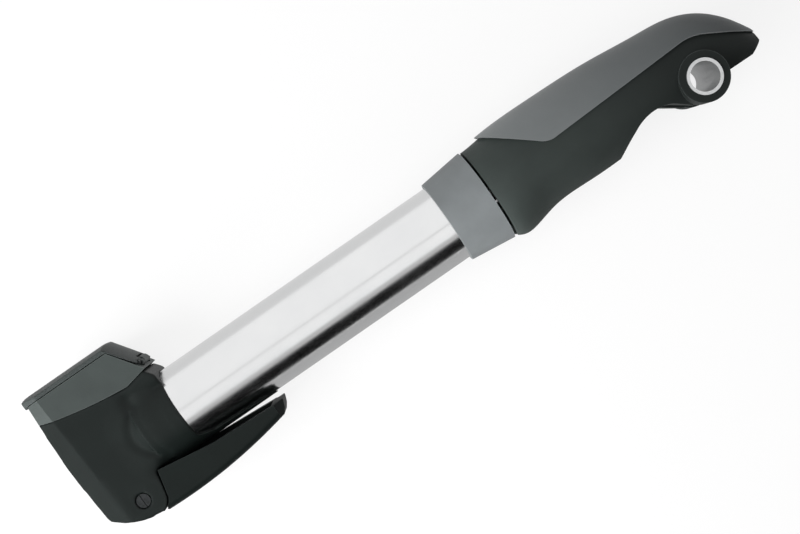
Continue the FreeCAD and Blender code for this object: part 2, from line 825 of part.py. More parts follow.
pocket(cap, profile, length="3 * barrel_radius")
for side in (1, -1):
    profile = new_sketch(cap, "XY", f"{side} * lid_lug")
    circle(profile, *HINGE, "lid_knuckle + free_gap")
    pocket(cap, profile, length="lid_knuckle_end + free_gap - lid_lug", reverse=side > 0)
profile = new_sketch(cap)
circle(profile, *HINGE, "lid_knuckle")
pad(cap, profile, half="lid_lug")
profile = new_sketch(cap)
circle(profile, *HINGE, "lid_pin_radius + seat_gap")
pocket(cap, profile, half="lid_knuckle_end + lid_pin_over")

# --- valve_seal, clamp_plunger and valve_depressor: in line with the port, along Y ---
DERIVED["PLUNGER_TOP"] = "(barrel_radius - chamber_floor + plunger_lift_room + plunger_head)"
DERIVED["PORT_X"] = "(0 - exposed_length / 2 - port_back)"
turned(
    "valve_seal", "Y", ("PORT_X", "0", "0"),
    [
        ("PLUNGER_TOP + seal_slack", "seal_throat"),
        ("PLUNGER_TOP + seal_slack + seal_step", "seal_throat"),
        ("PLUNGER_TOP + seal_slack + seal_step + 1", "seal_bore"),
        ("barrel_radius + cap_top - port_lip - seal_slack", "seal_bore"),
        ("barrel_radius + cap_top - port_lip - seal_slack", "chamber_radius - seal_slack"),
        ("PLUNGER_TOP + seal_slack", "chamber_radius - seal_slack"),
    ],
)  # fmt: skip
turned(
    "clamp_plunger", "Y", ("PORT_X", "0", "0"),
    [
        ("PIVOT_Y + hub_radius - hub_throw * cos(45) + cam_gap", "0"),
        ("PLUNGER_TOP - depressor_length + depressor_out", "0"),
        ("PLUNGER_TOP - depressor_length + depressor_out", "depressor_radius + seat_gap"),
        ("PLUNGER_TOP", "depressor_radius + seat_gap"),
        ("PLUNGER_TOP", "chamber_radius - free_gap"),
        ("PLUNGER_TOP - plunger_head", "chamber_radius - free_gap"),
        ("PLUNGER_TOP - plunger_head", "stem_radius"),
        ("PIVOT_Y + hub_radius - hub_throw * cos(45) + cam_gap", "stem_radius"),
    ],
)  # fmt: skip
ring(
    "valve_depressor", "Y", ("PORT_X", "0", "0"),
    "PLUNGER_TOP - depressor_length + depressor_out", "PLUNGER_TOP + depressor_out",
    "0", "depressor_radius",
)  # fmt: skip

# --- dust_lid: a crowned lid with a sloping end that turns on a pin through the cap's lug ---
LID_TOP = "barrel_radius + cap_top + lid_gap + lid_thickness"
lid = new_body("dust_lid", ("RIM", "0", "0"))
profile = new_sketch(lid)
outline(
    profile,
    [
        ("cap_lean - head_length - lid_overhang", "barrel_radius + cap_top - lid_lip_drop"),
        ("cap_lean - head_length - free_gap", "barrel_radius + cap_top - lid_lip_drop"),
        ("cap_lean - head_length - free_gap", "barrel_radius + cap_top + lid_gap"),
        ("lid_gap / 2 - cap_slope_top", "barrel_radius + cap_top + lid_gap"),
        HINGE,
        (
            "lid_knuckle * cos(lid_end_turn) - lid_pin_back",
            "barrel_radius + lid_pin_height + lid_knuckle * sin(lid_end_turn)",
        ),
        ("lid_bend_run - cap_slope_top", LID_TOP + " - lid_bend_fall", "ccw", "lid_bend_radius"),
        ("0 - cap_slope_top - lid_bend_back", LID_TOP),
        ("cap_lean - head_length - lid_overhang / 2", LID_TOP),
        ("cap_lean - head_length - lid_overhang", LID_TOP + " - lid_overhang / 2"),
    ],
)
pad(lid, profile, half="SIDE")
end_bevel(lid)
profile = new_sketch(lid)
circle(profile, *HINGE, "lid_knuckle")
pad(lid, profile, half="lid_knuckle_end")
slope = "atan((seam_right - cap_top) / (cap_slope_top - cap_slope_foot))"
for apex, lean in (
    (LID_TOP, None),
    (
        "lid_gap + lid_slope_thickness",
        (slope, "0 - cap_slope_top", "barrel_radius + cap_top"),
    ),
):
    profile = new_sketch(lid, "YZ", lean=lean)
    edge = f"{apex} - lid_crown + sqrt(lid_crown ^ 2 - (SIDE + 1) ^ 2)"
    corners = [
        (edge, "0 - SIDE - 1", "ccw", "lid_crown"),
        (edge, "SIDE + 1"),
        (f"{apex} + SIDE", "SIDE + 1"),
        (f"{apex} + SIDE", "0 - SIDE - 1"),
    ]
    outline(profile, corners)
    pocket(lid, profile, half="2 * head_length")
profile = new_sketch(lid)
circle(profile, *HINGE, "lid_knuckle + free_gap")
pocket(lid, profile, half="lid_lug + free_gap")
profile = new_sketch(lid)
circle(profile, *HINGE, "lid_pin_radius + run_gap")
pocket(lid, profile, half="lid_knuckle_end + lid_pin_over + free_gap")
ring(
    "lid_pin", "Z", ("RIM - lid_pin_back", "barrel_radius + lid_pin_height", "0"),
    "0 - lid_knuckle_end - lid_pin_over", "lid_knuckle_end + lid_pin_over", "0", "lid_pin_radius",
)  # fmt: skip

# --- clamp_lever: a trough under the tongue, on an eccentric hub between the cheeks ---
lever = new_body("clamp_lever", ("RIM", "0", "0"))
profile = new_sketch(lever)
outline(
    profile,
    [
        ("free_gap - cheek_top", "block_under - barrel_radius - lid_gap"),
        (
            "(cheek_radius + free_gap) * cos(cheek_turn) - pivot_back",
            "PIVOT_Y - (cheek_radius + free_gap) * sin(cheek_turn)",
            "cw",
            "cheek_radius + free_gap",
        ),
        (
            "(cheek_radius + free_gap) * cos(heel_turn) - pivot_back",
            "PIVOT_Y - (cheek_radius + free_gap) * sin(heel_turn)",
        ),
        ("0 - lever_heel", "0 - barrel_radius - lever_belly", "ccw", "lever_belly_radius"),
        ("lever_length + 4 - lever_heel", "0.95 - barrel_radius - lever_tip_low"),
        ("lever_length + 4 - lever_heel", "0.6 - barrel_radius - lever_tip_high"),
        ("lever_length - lever_heel", "0.4 - barrel_radius - lever_tip_high"),
        ("lever_knee", "0 - barrel_radius - lever_knee_drop"),
    ],
)
pad(lever, profile, half="SIDE")
for side in (1, -1):
    profile = new_sketch(lever, "XZ", "0 - 3 * barrel_radius")
    outline(
        profile,
        [
            ("0", f"{side} * SIDE"),
            ("lever_length", f"{side} * lever_tip_side"),
            ("lever_length", f"{side} * 2 * SIDE"),
            ("0", f"{side} * 2 * SIDE"),
        ],
    )
    pocket(lever, profile, length="3 * barrel_radius")
doc.recompute()
low, near = value_of("barrel_radius + lever_tip_high + 2"), value_of("lever_tip_side - 0.5")
rounding = lever.newObject("PartDesign::Fillet", "belly_round")
rounding.Base = (
    lever.Group[-2],
    edges_where(lever.Group[-2].Shape, lambda at: at.y < 0 - low and abs(at.z) > near, longer=6),
)
rounding.setExpression("Radius", formula("lever_round"))
profile = new_sketch(lever)
outline(
    profile,
    [
        ("lever_length - lever_heel", "0 - barrel_radius - lever_tip_low"),
        ("lever_length + lever_nose_run - lever_heel", "0 - barrel_radius - lever_nose_low"),
        ("lever_length + lever_tip_run - lever_heel", "0 - barrel_radius - lever_tip_high"),
        ("lever_length + lever_tip_run - lever_heel", "0"),
        ("2 * lever_length", "0"),
        ("2 * lever_length", "0 - 3 * barrel_radius"),
        ("lever_length - lever_heel", "0 - 3 * barrel_radius"),
    ],
)
pocket(lever, profile, half="SIDE")
for side in (1, -1):
    profile = new_sketch(lever, "XZ", "0 - 3 * barrel_radius")
    outline(
        profile,
        [
            ("lever_length - lever_heel - 1", f"{side} * 2 * lever_tip_side"),
            ("lever_length - lever_heel - 1", f"{side} * (lever_tip_side + 0.5)"),
            ("lever_length - lever_heel + 3", f"{side} * (lever_tip_side - 2)"),
            ("lever_length - lever_heel + 3", f"{side} * 2 * lever_tip_side"),
        ],
    )
    pocket(lever, profile, length="3 * barrel_radius")
profile = new_sketch(lever, "XZ", "0 - barrel_radius - lever_floor")
outline(
    profile,
    [
        ("0 - cheek_top - 3", "lever_wall - SIDE"),
        ("0", "lever_wall - SIDE"),
        ("lever_length - lever_heel - 2", "lever_wall - lever_tip_side"),
        ("lever_length - lever_heel - 2", "lever_tip_side - lever_wall"),
        ("0", "SIDE - lever_wall"),
        ("0 - cheek_top - 3", "SIDE - lever_wall"),
    ],
)
pocket(lever, profile, length="2 * barrel_radius")
profile = new_sketch(lever)
outline(
    profile,
    [
        ("0 - pivot_back", "PIVOT_Y - hub_radius - hub_throw * cos(45)"),
        ("lever_neck - cheek_top", "PIVOT_Y - hub_radius - hub_throw * cos(45)"),
        ("lever_neck - cheek_top", "0 - barrel_radius - lever_floor + 1"),
        ("0 - pivot_back", "PIVOT_Y + hub_radius - hub_throw * cos(45) - 1"),
    ],
)
pad(lever, profile, half="hub_side")
profile = new_sketch(lever)
circle(profile, "0 - pivot_back - hub_throw * cos(45)", "PIVOT_Y - hub_throw * cos(45)", "hub_radius")
pad(lever, profile, half="hub_side")
profile = new_sketch(lever)
circle(profile, "0 - pivot_back", "PIVOT_Y", "pin_radius + run_gap")
pocket(lever, profile, half="2 * barrel_radius")

# --- lever_pin: a steel pin with a slotted head at each cheek ---
pin = turned(
    "lever_pin", "Z", ("RIM - pivot_back", "PIVOT_Y", "0"),
    [
        ("pin_recess - SIDE", "0"),
        ("SIDE - pin_recess", "0"),
        ("SIDE - pin_recess", "pin_head"),
        ("SIDE - pin_recess - pin_head_depth", "pin_head"),
        ("SIDE - pin_recess - pin_head_depth", "pin_radius"),
        ("pin_recess + pin_head_depth - SIDE", "pin_radius"),
        ("pin_recess + pin_head_depth - SIDE", "pin_head"),
        ("pin_recess - SIDE", "pin_head"),
    ],
)  # fmt: skip
for side in (1, -1):
    profile = new_sketch(pin, "XY", f"{side} * (SIDE - pin_recess - pin_slot)")
    outline(
        profile,
        [
            ("0 - pin_slot / 2", "0 - 2 * pin_head"),
            ("pin_slot / 2", "0 - 2 * pin_head"),
            ("pin_slot / 2", "2 * pin_head"),
            ("0 - pin_slot / 2", "2 * pin_head"),
        ],
    )
    pocket(pin, profile, length="pin_head", reverse=side > 0)

# --- handle: the form that shell and overlay share ---
def handle_loft(body, grow, kind="AdditiveLoft"):
    """A loft through the handle's sections, grown outwards by grow."""
    sections = []
    for name in HANDLE_SECTIONS:
        profile = new_sketch(body, "YZ", name + "_along")
        if name == "mouth":
            circle(profile, name + "_centre", "0", f"FLARE + ({grow})")
        else:
            tall = f"(FLARE + {name}_height_grow + ({grow}))"
            wide = f"(FLARE + {name}_width_grow + ({grow}))"
            ellipse(profile, name + "_centre", tall, wide)
        sections.append(profile)
    loft = feature(body, kind, sections[0])
    loft.Sections = sections[1:]


def overlay_edge(body, above):
    """Cuts what lies above, or below, the overlay's lower edge."""
    top, bottom = "3 * barrel_radius", "0 - 3 * barrel_radius"
    profile = new_sketch(body)
    corners = [
        ("edge_front", "FLARE + edge_front_rise"),
        ("edge_bend", "edge_bend_height", "ccw", "edge_bend_radius"),
        ("edge_bend + 4.4", "edge_bend_height - 1.1"),
        ("eye_along", "edge_rear_height", "cw", "edge_rear_radius"),
        ("eye_along + 7", "edge_rear_height - 1.6"),
        ("tip_along + 1", "0 - edge_tip_drop"),
        ("tip_along + 10", "0 - edge_tip_drop"),
    ]
    if above:
        corners += [("tip_along + 10", top), ("edge_front", top)]
    else:
        corners += [("tip_along + 10", bottom), ("0 - 5", bottom), ("0 - 5", top), ("edge_front", top)]
    outline(profile, corners)
    pocket(body, profile, half="3 * barrel_radius")


EYE = ("eye_along", "0 - eye_drop")
shell = new_body("handle_shell", ("MOUTH", "0", "0"))
handle_loft(shell, "0")
overlay_edge(shell, above=True)
handle_loft(shell, "0 - overlay_depth")


# the underside: a finger arch in front of the pivot, and a beak behind it
profile = new_sketch(shell)
outline(
    profile,
    [
        ("arch_start", "0 - 2 * FLARE"),
        ("arch_start", "0 - arch_foot", "cw", "arch_in_radius"),
        ("arch_shoulder", "0 - arch_shoulder_drop", "cw", "arch_radius"),
        ("arch_end", "0 - arch_end_drop"),
        ("arch_end + 6", "0 - eye_drop - 0.75 * boss_radius"),
        ("arch_end + 6", "0 - 2 * FLARE"),
    ],
)
pocket(shell, profile, half="2 * FLARE")
profile = new_sketch(shell)
outline(
    profile,
    [
        ("arch_end + 5.9", "0 - 2 * FLARE"),
        ("arch_end + 5.9", "0 - eye_drop - 0.7 * boss_radius"),
        ("eye_along + 0.95 * boss_radius", "0 - beak_foot"),
        ("tip_along - 5", "0 - beak_foot - 0.3"),
        ("tip_along - 1", "0 - beak_foot + 1.4"),
        ("tip_along + 5", "0 - edge_tip_drop"),
        ("tip_along + 5", "0 - 2 * FLARE"),
    ],
)
pocket(shell, profile, half="2 * FLARE")
profile = new_sketch(shell)
circle(profile, *EYE, "boss_radius")
pad(shell, profile, half="boss_side")
profile = new_sketch(shell)
outline(
    profile,
    [
        ("0 - 1", "0"),
        ("cavity_length", "0"),
        ("cavity_length", "FLARE - shell_wall - cavity_taper"),
        ("0 - 1", "FLARE - shell_wall"),
    ],
)
turn_about(shell, profile, kind="Groove")
profile = new_sketch(shell)
outline(
    profile,
    [
        ("0 - 1", "0 - 2 * FLARE"),
        ("0 - 1", "rod_radius + slot_roof"),
        ("eye_shoulder", "rod_radius + slot_roof"),
        ("eye_along", "eye_radius + slot_roof - eye_drop", "cw", "eye_radius + slot_roof"),
        ("eye_along + eye_radius + slot_roof", "0 - eye_drop"),
        ("eye_along + eye_radius + slot_roof", "0 - 2 * FLARE"),
    ],
)
pocket(shell, profile, half="slot_side")
profile = new_sketch(shell)
circle(profile, *EYE, "tube_outer + seat_gap")
pocket(shell, profile, half="2 * FLARE")

# --- grip_overlay: a soft skin over the top of the shell ---
overlay = new_body("grip_overlay", ("MOUTH", "0", "0"))
handle_loft(overlay, "overlay_proud")
overlay_edge(overlay, above=False)
handle_loft(overlay, "0 - overlay_depth", "SubtractiveLoft")

# --- pivot_tube, rod_eye and eye_washers: the fold's axle and what turns on it ---
ring(
    "pivot_tube", "Z", ("MOUTH + eye_along", "0 - eye_drop", "0"),
    "0 - tube_half", "tube_half", "tube_inner", "tube_outer",
)  # fmt: skip
eye = new_body("rod_eye", ("MOUTH", "0", "0"))
profile = new_sketch(eye)
outline(
    profile,
    [
        ("rod_reach", "0 - rod_radius"),
        ("eye_along - 0.8 * eye_radius", "0 - eye_drop - 0.6 * eye_radius"),
        ("eye_along", "0 - eye_drop"),
        ("eye_along + 0.3 * eye_radius", "0.95 * eye_radius - eye_drop"),
        ("eye_shoulder", "rod_radius"),
        ("rod_reach", "rod_radius"),
    ],
)
pad(eye, profile, half="eye_side")
profile = new_sketch(eye)
circle(profile, *EYE, "eye_radius")
pad(eye, profile, half="eye_side")
profile = new_sketch(eye)
circle(profile, *EYE, "tube_outer + run_gap")
pocket(eye, profile, half="2 * eye_side")
profile = new_sketch(eye, "YZ", "rod_reach")
circle(profile, "0", "0", "rod_spigot_radius + seat_gap")
pocket(eye, profile, length="rod_spigot_length", reverse=True)
washers = new_body("eye_washers", ("MOUTH", "0", "0"))
for side in (1, -1):
    profile = new_sketch(washers, "XY", f"{side} * (eye_side + washer_gap)")
    circle(profile, *EYE, "washer_radius")
    circle(profile, *EYE, "tube_outer + run_gap")
    pad(washers, profile, length="washer_thickness", reverse=side < 0)


doc.recompute()
os.makedirs("parts", exist_ok=True)
for made in doc.Objects:
    if {"Invalid", "Error"} & set(made.State):
        raise RuntimeError(f"{made.Label} ({made.Name}) failed: {made.State}")
    if made.TypeId == "Sketcher::SketchObject" and not made.FullyConstrained:
        raise RuntimeError(f"{made.Name} isn't fully constrained")
for piece in PIECES:
    shape = piece.Shape
    if shape.isNull() or not shape.isValid():
        raise RuntimeError(f"{piece.Label} has no valid shape")
    shape.exportStep(f"parts/{piece.Label}.step")
    print(piece.Label, len(shape.Solids), "solids", round(shape.Volume, 1), "mm3")
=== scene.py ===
import math

import bpy
import bmesh
from mathutils import Matrix, Vector


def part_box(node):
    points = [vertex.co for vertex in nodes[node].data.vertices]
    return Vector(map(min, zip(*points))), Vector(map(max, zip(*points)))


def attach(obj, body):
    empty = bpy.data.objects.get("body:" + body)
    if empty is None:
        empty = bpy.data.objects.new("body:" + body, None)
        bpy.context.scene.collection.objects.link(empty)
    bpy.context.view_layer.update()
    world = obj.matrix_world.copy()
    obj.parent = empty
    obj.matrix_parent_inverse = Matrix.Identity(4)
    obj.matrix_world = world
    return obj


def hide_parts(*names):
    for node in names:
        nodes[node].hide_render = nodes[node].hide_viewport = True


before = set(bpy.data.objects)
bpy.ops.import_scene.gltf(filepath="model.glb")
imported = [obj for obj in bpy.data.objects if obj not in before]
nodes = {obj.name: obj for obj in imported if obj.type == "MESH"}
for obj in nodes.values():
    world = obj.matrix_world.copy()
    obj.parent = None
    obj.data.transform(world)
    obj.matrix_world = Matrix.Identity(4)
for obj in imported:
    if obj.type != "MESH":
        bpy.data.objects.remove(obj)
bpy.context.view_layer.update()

# --- view: a long lens almost straight above the pump, which lies on its side ---
# The camera leans a little towards the valve port, and is turned so that the pump runs
# from the lower left to the upper right.
looked_at = Vector((0.0293, -0.003, 0.0))
lean = math.radians(3.3)
away = Vector((0.0, math.sin(lean), math.cos(lean)))
right = Vector((0.8216, -0.57, 0.0))
right = (right - right.dot(away) * away).normalized()
up = away.cross(right)
lens = bpy.data.cameras.new("view")
lens.lens = 59.04
lens.sensor_width = 36.0
lens.clip_start = 0.01
camera = bpy.data.objects.new("view", lens)
turn = Matrix((right, up, away)).transposed().to_4x4()
camera.matrix_world = Matrix.Translation(looked_at + 0.4 * away) @ turn
bpy.context.scene.collection.objects.link(camera)
bpy.context.scene.camera = camera
bpy.context.scene.view_settings.view_transform = "Standard"


# --- studio: a pale floor, a white surround, three soft lamps and cards ---
# The cards stand beyond the lever's side of the pump and over it, and are what the bright
# tube shows as dark and grey stripes along its length. Two grey sheets lie on the floor and
# are painted shade of the floor near the pump, seen only in the tube's reflection.
def seen_directly(tree):
    """1 for rays from the eye, and for those that a polished or clear surface sends on."""
    path = tree.nodes.new("ShaderNodeLightPath")
    first = tree.nodes.new("ShaderNodeMath")
    first.operation = "MAXIMUM"
    tree.links.new(path.outputs["Is Camera Ray"], first.inputs[0])
    tree.links.new(path.outputs["Is Glossy Ray"], first.inputs[1])
    both = tree.nodes.new("ShaderNodeMath")
    both.operation = "MAXIMUM"
    tree.links.new(first.outputs[0], both.inputs[0])
    tree.links.new(path.outputs["Is Transmission Ray"], both.inputs[1])
    return both.outputs[0]


surround = bpy.data.worlds.new("surround")
surround.use_nodes = True
bpy.context.scene.world = surround
tree = surround.node_tree
glow = tree.nodes["Background"]
glow.inputs["Color"].default_value = (1, 1, 1, 1)
glow.inputs["Strength"].default_value = 0.36
white = tree.nodes.new("ShaderNodeBackground")
white.inputs["Color"].default_value = (1, 1, 1, 1)
white.inputs["Strength"].default_value = 1.0
either = tree.nodes.new("ShaderNodeMixShader")
tree.links.new(seen_directly(tree), either.inputs["Fac"])
tree.links.new(glow.outputs[0], either.inputs[1])
tree.links.new(white.outputs[0], either.inputs[2])
tree.links.new(either.outputs[0], tree.nodes["World Output"].inputs["Surface"])


def sheet(name, low, high, material):
    """A flat stage sheet between two corners of a box that has one thin side."""
    flat = bmesh.new()
    bmesh.ops.create_grid(flat, x_segments=1, y_segments=1, size=0.5)
    if low[1] == high[1]:
        bmesh.ops.rotate(flat, verts=flat.verts, matrix=Matrix.Rotation(math.pi / 2, 3, "X"))
    wide = [far - near if far > near else 1.0 for near, far in zip(low, high)]
    bmesh.ops.scale(flat, verts=flat.verts, vec=wide)
    middle = [(far + near) / 2 for near, far in zip(low, high)]
    bmesh.ops.translate(flat, verts=flat.verts, vec=middle)
    mesh = bpy.data.meshes.new(name)
    flat.to_mesh(mesh)
    flat.free()
    made = bpy.data.objects.new(name, mesh)
    bpy.context.scene.collection.objects.link(made)
    mesh.materials.append(material)
    return made


ground = min(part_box(name)[0].z for name in nodes) - 0.0002
paper = bpy.data.materials.new("floor_paper")
paper.use_nodes = True
tree = paper.node_tree
matt = tree.nodes["Principled BSDF"]
matt.inputs["Base Color"].default_value = (0.8, 0.8, 0.8, 1)
matt.inputs["Roughness"].default_value = 0.9
lit = tree.nodes.new("ShaderNodeEmission")
lit.inputs["Strength"].default_value = 1.0
either = tree.nodes.new("ShaderNodeMixShader")
share = tree.nodes.new("ShaderNodeMath")
share.operation = "MULTIPLY"
share.inputs[1].default_value = 0.82
tree.links.new(seen_directly(tree), share.inputs[0])
tree.links.new(share.outputs[0], either.inputs["Fac"])
tree.links.new(matt.outputs[0], either.inputs[1])
tree.links.new(lit.outputs[0], either.inputs[2])
tree.links.new(either.outputs[0], tree.nodes["Material Output"].inputs["Surface"])
sheet("floor", (-3, -3, ground), (3, 3, ground), paper)

# cards that only reflections see: a dark one beside the lever, with greys round it; the two on the
# floor are painted floor shade
for name, low, high, level in (
    ("dark_card", (-0.8, -0.34, 0.0), (0.8, -0.34, 0.28), 0.004),
    ("half_card", (-0.8, -0.34, 0.28), (0.8, -0.34, 0.46), 0.55),
    # painted shade: grey sheets on the floor, darker than the floor, stand for its shade in
    # reflections
    ("painted_floor_shade_lever_side", (-0.8, -0.34, ground + 0.001), (0.8, -0.004, ground + 0.001), 0.46),
    ("painted_floor_shade_port_side", (-0.8, 0.006, ground + 0.001), (0.8, 0.3, ground + 0.001), 0.74),
    ("lens_card", (-0.8, -0.11, 1.2), (0.8, -0.04, 1.2), 0.6),
):
    tone = bpy.data.materials.new(name)
    tone.use_nodes = True
    tree = tone.node_tree
    grey = tree.nodes.new("ShaderNodeEmission")
    grey.inputs["Color"].default_value = (1, 1, 1, 1)
    grey.inputs["Strength"].default_value = level
    tree.links.new(grey.outputs[0], tree.nodes["Material Output"].inputs["Surface"])
    card = sheet(name, low, high, tone)
    card.visible_camera = False
    card.visible_diffuse = False
    card.visible_shadow = False

for name, place, size, power in (
    ("key_lamp", (-0.42, 0.02, 0.3), 0.35, 3.8),
    ("top_lamp", (0.0, 0.2, 1.3), 0.8, 3.0),
    ("low_lamp", (-0.42, -0.24, 0.1), 0.25, 2.8),
):
    lamp = bpy.data.lights.new(name, "AREA")
    lamp.shape = "SQUARE"
    lamp.size = size
    lamp.energy = power
    hung = bpy.data.objects.new(name, lamp)
    aim = (looked_at - Vector(place)).to_track_quat("-Z", "Y").to_matrix().to_4x4()
    hung.matrix_world = Matrix.Translation(place) @ aim
    hung.visible_glossy = False
    bpy.context.scene.collection.objects.link(hung)


# --- barrel and inner tube: drawn aluminium, the outer one polished bright ---
# The inner tube slides out of the barrel on a piston, and keeps faint draw lines along it.
# Both are cut from stock tube and burnished where they show.
def blank_finish(name, roughness, metallic=0.0):
    """A material with a bare shader. Its grain and colours are built on it."""
    made = bpy.data.materials.new(name)
    made.use_nodes = True
    shader = made.node_tree.nodes["Principled BSDF"]
    shader.inputs["Roughness"].default_value = roughness
    shader.inputs["Metallic"].default_value = metallic
    return made, made.node_tree, shader


def speckle(tree, per_metre, detail=3.0):
    """Noise on the piece's own coordinates, with so many grains a metre along X, Y and Z."""
    place = tree.nodes.new("ShaderNodeTexCoord")
    spread = tree.nodes.new("ShaderNodeMapping")
    spread.inputs["Scale"].default_value = per_metre
    grains = tree.nodes.new("ShaderNodeTexNoise")
    grains.inputs["Scale"].default_value = 1.0
    grains.inputs["Detail"].default_value = detail
    grains.inputs["Roughness"].default_value = 0.55
    tree.links.new(place.outputs["Object"], spread.inputs["Vector"])
    tree.links.new(spread.outputs[0], grains.inputs["Vector"])
    return grains.outputs["Fac"]


def spread_over(tree, value, low, high, start=0.3, end=0.7):
    """The value from start to end, stretched to run from low to high."""
    stretch = tree.nodes.new("ShaderNodeMapRange")
    stretch.inputs["From Min"].default_value = start
    stretch.inputs["From Max"].default_value = end
    stretch.inputs["To Min"].default_value = low
    stretch.inputs["To Max"].default_value = high
    tree.links.new(value, stretch.inputs["Value"])
    return stretch.outputs[0]


def tint(tree, value, first, second):
    """The first colour where the value is 0, the second where it is 1."""
    mix = tree.nodes.new("ShaderNodeMix")
    mix.data_type = "RGBA"
    for socket, colour in (("A", first), ("B", second)):
        side = [s for s in mix.inputs if s.name == socket and s.type == "RGBA"][0]
        if isinstance(colour, tuple):
            side.default_value = (*colour, 1)
        else:
            tree.links.new(colour, side)
    tree.links.new(value, mix.inputs["Factor"])
    return [s for s in mix.outputs if s.type == "RGBA"][0]


def relief(tree, shader, value, depth, strength):
    """Grain that stands up to depth metres out of the surface."""
    bump = tree.nodes.new("ShaderNodeBump")
    bump.inputs["Distance"].default_value = depth
    bump.inputs["Strength"].default_value = strength
    tree.links.new(value, bump.inputs["Height"])
    tree.links.new(bump.outputs[0], shader.inputs["Normal"])


def give(finish, *names):
    """Every named node takes the finish."""
    for name in names:
        nodes[name].data.materials.clear()
        nodes[name].data.materials.append(finish)


def tube_finish(name, bright, dull, polish):
    """Metal with fine lines along it, and smudges that dull its polish."""
    finish, tree, shader = blank_finish(name, polish, metallic=1.0)
    lines = speckle(tree, (8, 900, 900))
    smudges = speckle(tree, (60, 90, 90), detail=5.0)
    toned = tint(tree, spread_over(tree, smudges, 0, 1), bright, dull)
    tree.links.new(toned, shader.inputs["Base Color"])
    tree.links.new(
        spread_over(tree, smudges, polish * 0.8, polish * 1.3), shader.inputs["Roughness"]
    )
    relief(tree, shader, lines, 0.000004, 0.25)
    return finish


polished = tube_finish("polished_tube", (0.825, 0.828, 0.83), (0.79, 0.795, 0.8), 0.19)
give(polished, "barrel")
give(tube_finish("satin_tube", (0.72, 0.73, 0.74), (0.62, 0.63, 0.65), 0.3), "inner_tube")


# --- collar: a light grey moulding pressed over the barrel's end ---
# Injection-moulded nylon with a fine spark-eroded grain, and slightly paler where its edges
# have been rubbed.
def worn_edges(tree, radius):
    """Near 1 where the surface turns an edge within the radius, and 0 on the flat."""
    turned = tree.nodes.new("ShaderNodeBevel")
    turned.samples = 4
    turned.inputs["Radius"].default_value = radius
    flat = tree.nodes.new("ShaderNodeNewGeometry")
    same = tree.nodes.new("ShaderNodeVectorMath")
    same.operation = "DOT_PRODUCT"
    tree.links.new(turned.outputs[0], same.inputs[0])
    tree.links.new(flat.outputs["Normal"], same.inputs[1])
    return spread_over(tree, same.outputs["Value"], 0, 1, 0.995, 0.8)


def along_piece(tree, start, end):
    """0 up to X = start metres along the pump, 1 from X = end."""
    place = tree.nodes.new("ShaderNodeTexCoord")
    parts = tree.nodes.new("ShaderNodeSeparateXYZ")
    tree.links.new(place.outputs["Object"], parts.inputs[0])
    return spread_over(tree, parts.outputs["X"], 0, 1, start, end)


def moulding(name, colour, pale, roughness, gloss=0.3, far=None):
    """Grained plastic: two close tones, a fine relief, pale rubbed edges, and a gloss.

    The far end is another colour, a painted shade where the light falls off along the piece, and
    the start and end in metres of the change to it.
    """
    finish, tree, shader = blank_finish(name, roughness)
    shader.inputs["Specular IOR Level"].default_value = gloss
    flow = speckle(tree, (120, 120, 120), detail=4.0)
    grains = speckle(tree, (2600, 2600, 2600), detail=2.0)
    deeper = tuple(0.86 * part for part in colour)
    toned = tint(tree, spread_over(tree, flow, 0, 1), deeper, colour)
    if far:
        far_shade_colour, start, end = far
        # painted shade: the far end turns to a darker colour, as if the light fell off along the
        # piece
        toned = tint(tree, along_piece(tree, start, end), toned, far_shade_colour)
    rubbed = worn_edges(tree, 0.00035)
    tree.links.new(tint(tree, rubbed, toned, pale), shader.inputs["Base Color"])
    tree.links.new(
        spread_over(tree, grains, roughness - 0.06, roughness + 0.08), shader.inputs["Roughness"]
    )
    relief(tree, shader, grains, 0.00002, 0.6)
    return finish


give(moulding("collar_plastic", (0.172, 0.186, 0.191), (0.24, 0.26, 0.265), 0.55), "barrel_collar")

# --- head: one black nylon moulding, and the grey port cap screwed into it ---
# The head takes the barrel, the valve's chamber and the lever's axle. The cap carries the
# port that the tyre's valve goes into, and has the same grain in a lighter colour.
black = moulding("black_plastic", (0.006, 0.0084, 0.0078), (0.018, 0.022, 0.021), 0.46, gloss=0.2)
give(black, "head_body", "clamp_plunger")


def softened(node, name, grain):
    """A copy of a CAD node in even small faces, which rounds its moulded edges."""
    copied = bmesh.new()
    copied.from_mesh(nodes[node].data)
    bmesh.ops.remove_doubles(copied, verts=copied.verts, dist=0.000001)
    mesh = bpy.data.meshes.new(name)
    copied.to_mesh(mesh)
    copied.free()
    rough = bpy.data.objects.new(name, mesh)
    bpy.context.scene.collection.objects.link(rough)
    even = rough.modifiers.new("even", "REMESH")
    even.mode = "VOXEL"
    even.voxel_size = grain
    bpy.context.view_layer.update()
    seen = rough.evaluated_get(bpy.context.evaluated_depsgraph_get())
    fine = bmesh.new()
    fine.from_mesh(seen.to_mesh())
    seen.to_mesh_clear()
    rough.modifiers.clear()
    return rough, fine


def ease(fine, within, times):
    """Smooths the vertices that pass the test, which takes a place in mm and a normal."""
    fine.normal_update()
    chosen = [v for v in fine.verts if within(v.co * 1000, v.normal)]
    for _ in range(times):
        bmesh.ops.smooth_vert(
            fine, verts=chosen, factor=0.5, use_axis_x=True, use_axis_y=True, use_axis_z=True
        )


def finished(rough, fine, finish, body, stands_for):
    """Puts the worked mesh into its object, shaded smooth, to ride on a body."""
    for face in fine.faces:
        face.smooth = True
    fine.to_mesh(rough.data)
    fine.free()
    rough.data.materials.clear()
    rough.data.materials.append(finish)
    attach(rough, body)
    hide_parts(stands_for)


def round_barrel(at):
    """How far a place is from the barrel's axis."""
    return math.hypot(at.y, at.z)


housing, fine = softened("head_body", "head_housing", 0.0004)
head_back = -0.078
flare_start, flare_length = -0.0672, 0.0056
sleeve_proud = 0.0031
socket_end, socket = -0.0605, 0.01305
sleeve_mouth = -0.0503
tongue_taper, tongue_cut = 0.006, 0.28

